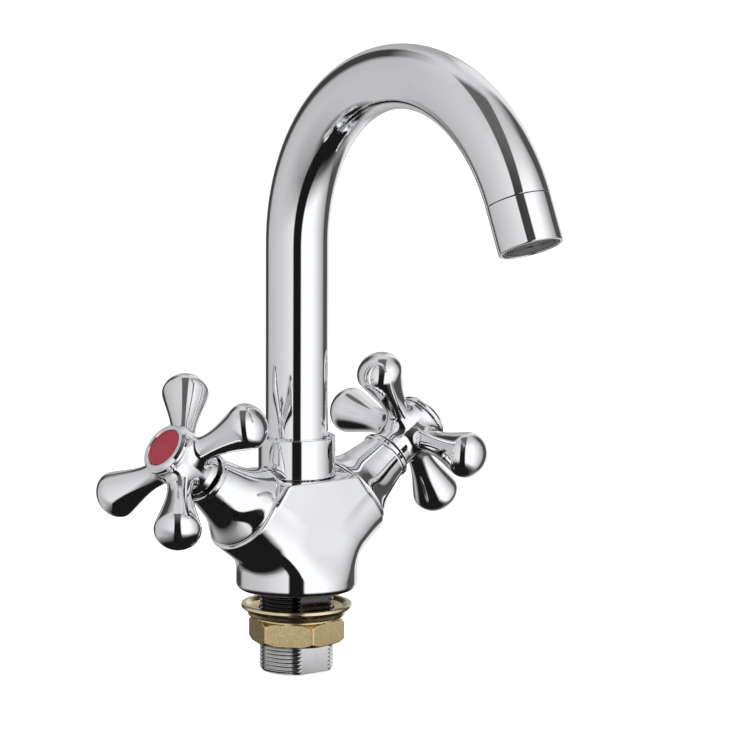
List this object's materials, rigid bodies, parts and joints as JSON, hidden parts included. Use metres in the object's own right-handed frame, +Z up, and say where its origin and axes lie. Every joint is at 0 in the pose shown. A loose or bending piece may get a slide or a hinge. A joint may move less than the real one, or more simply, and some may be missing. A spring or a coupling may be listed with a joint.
{
  "type": "basin mixer faucet",
  "caption": "Deck-mounted two-handle basin mixer faucet with a swivelling swan-neck spout, cross handles and a threaded fixing shank.",
  "frame": {"origin": "centre of the body's underside, on the faucet's vertical axis at the deck plane", "axes": "+Z up along the spout's riser and swivel axis; the spout reaches towards -Y at rest; the hot valve is towards -X and the cold valve towards +X"},
  "size_m": [0.1547, 0.1842, 0.2414],
  "materials": {
    "chrome": "mirror-bright electroplated chrome",
    "shank_plating": "thin plating over cut brass thread",
    "brass": "turned and cast yellow brass",
    "valve_brass": "turned brass, unplated",
    "steel": "plain stainless screw",
    "rubber": "black nitrile rubber",
    "aerator_plastic": "dark moulded acetal",
    "slip_plastic": "white acetal",
    "ceramic": "lapped alumina ceramic",
    "index_red": "glossy red enamel-like plastic",
    "index_blue": "glossy blue enamel-like plastic"
  },
  "bodies": {
    "mixer": {"mixer_body": "chrome", "threaded_shank": "shank_plating", "base_seal": "rubber", "spout_collar": "chrome", "spout_slip_ring": "slip_plastic", "seat_seal_hot": "rubber", "fixed_disc_hot": "ceramic", "headwork_hot": "valve_brass", "headwork_ring_hot": "rubber", "bell_sleeve_hot": "chrome", "seat_seal_cold": "rubber", "fixed_disc_cold": "ceramic", "headwork_cold": "valve_brass", "headwork_ring_cold": "rubber", "bell_sleeve_cold": "chrome"},
    "spout": {"spout_tube": "chrome", "spout_foot": "valve_brass", "spout_ring_lower": "rubber", "spout_ring_upper": "rubber", "aerator_housing": "chrome", "aerator_insert": "aerator_plastic", "aerator_washer": "rubber"},
    "flange": {"flange_washer": "brass"},
    "lock_nut": {"lock_nut": "brass"},
    "hot_handle": {"cross_handle_hot": "chrome", "spindle_hot": "valve_brass", "moving_disc_hot": "ceramic", "handle_screw_hot": "steel", "cap_hot": "chrome", "index_disc_hot": "index_red"},
    "cold_handle": {"cross_handle_cold": "chrome", "spindle_cold": "valve_brass", "moving_disc_cold": "ceramic", "handle_screw_cold": "steel", "cap_cold": "chrome", "index_disc_cold": "index_blue"}
  },
  "joints": [
    {"name": "spout_swivel", "type": "hinge", "parent": "mixer", "child": "spout", "pos_m": [0, 0, 0.05], "axis": [0, 0, 1], "continuous": true},
    {"name": "hot_turn", "type": "hinge", "parent": "mixer", "child": "hot_handle", "pos_m": [0, 0, 0.016], "axis": [-0.8121, 0, 0.5835], "range_deg": [0, 90]},
    {"name": "cold_turn", "type": "hinge", "parent": "mixer", "child": "cold_handle", "pos_m": [0, 0, 0.016], "axis": [0.8121, 0, 0.5835], "range_deg": [0, 90]},
    {"name": "flange_travel", "type": "slide", "parent": "mixer", "child": "flange", "axis": [0, 0, -1], "range_m": [-0.005, 0.0105]},
    {"name": "nut_turn", "type": "hinge", "parent": "flange", "child": "lock_nut", "pos_m": [0, 0, -0.015], "axis": [0, 0, -1], "range_deg": [-1200, 2520]}
  ],
  "couplings": [
    {"joint": "flange_travel", "follows": "nut_turn", "m_per_rad": 0.00023873}
  ]
}
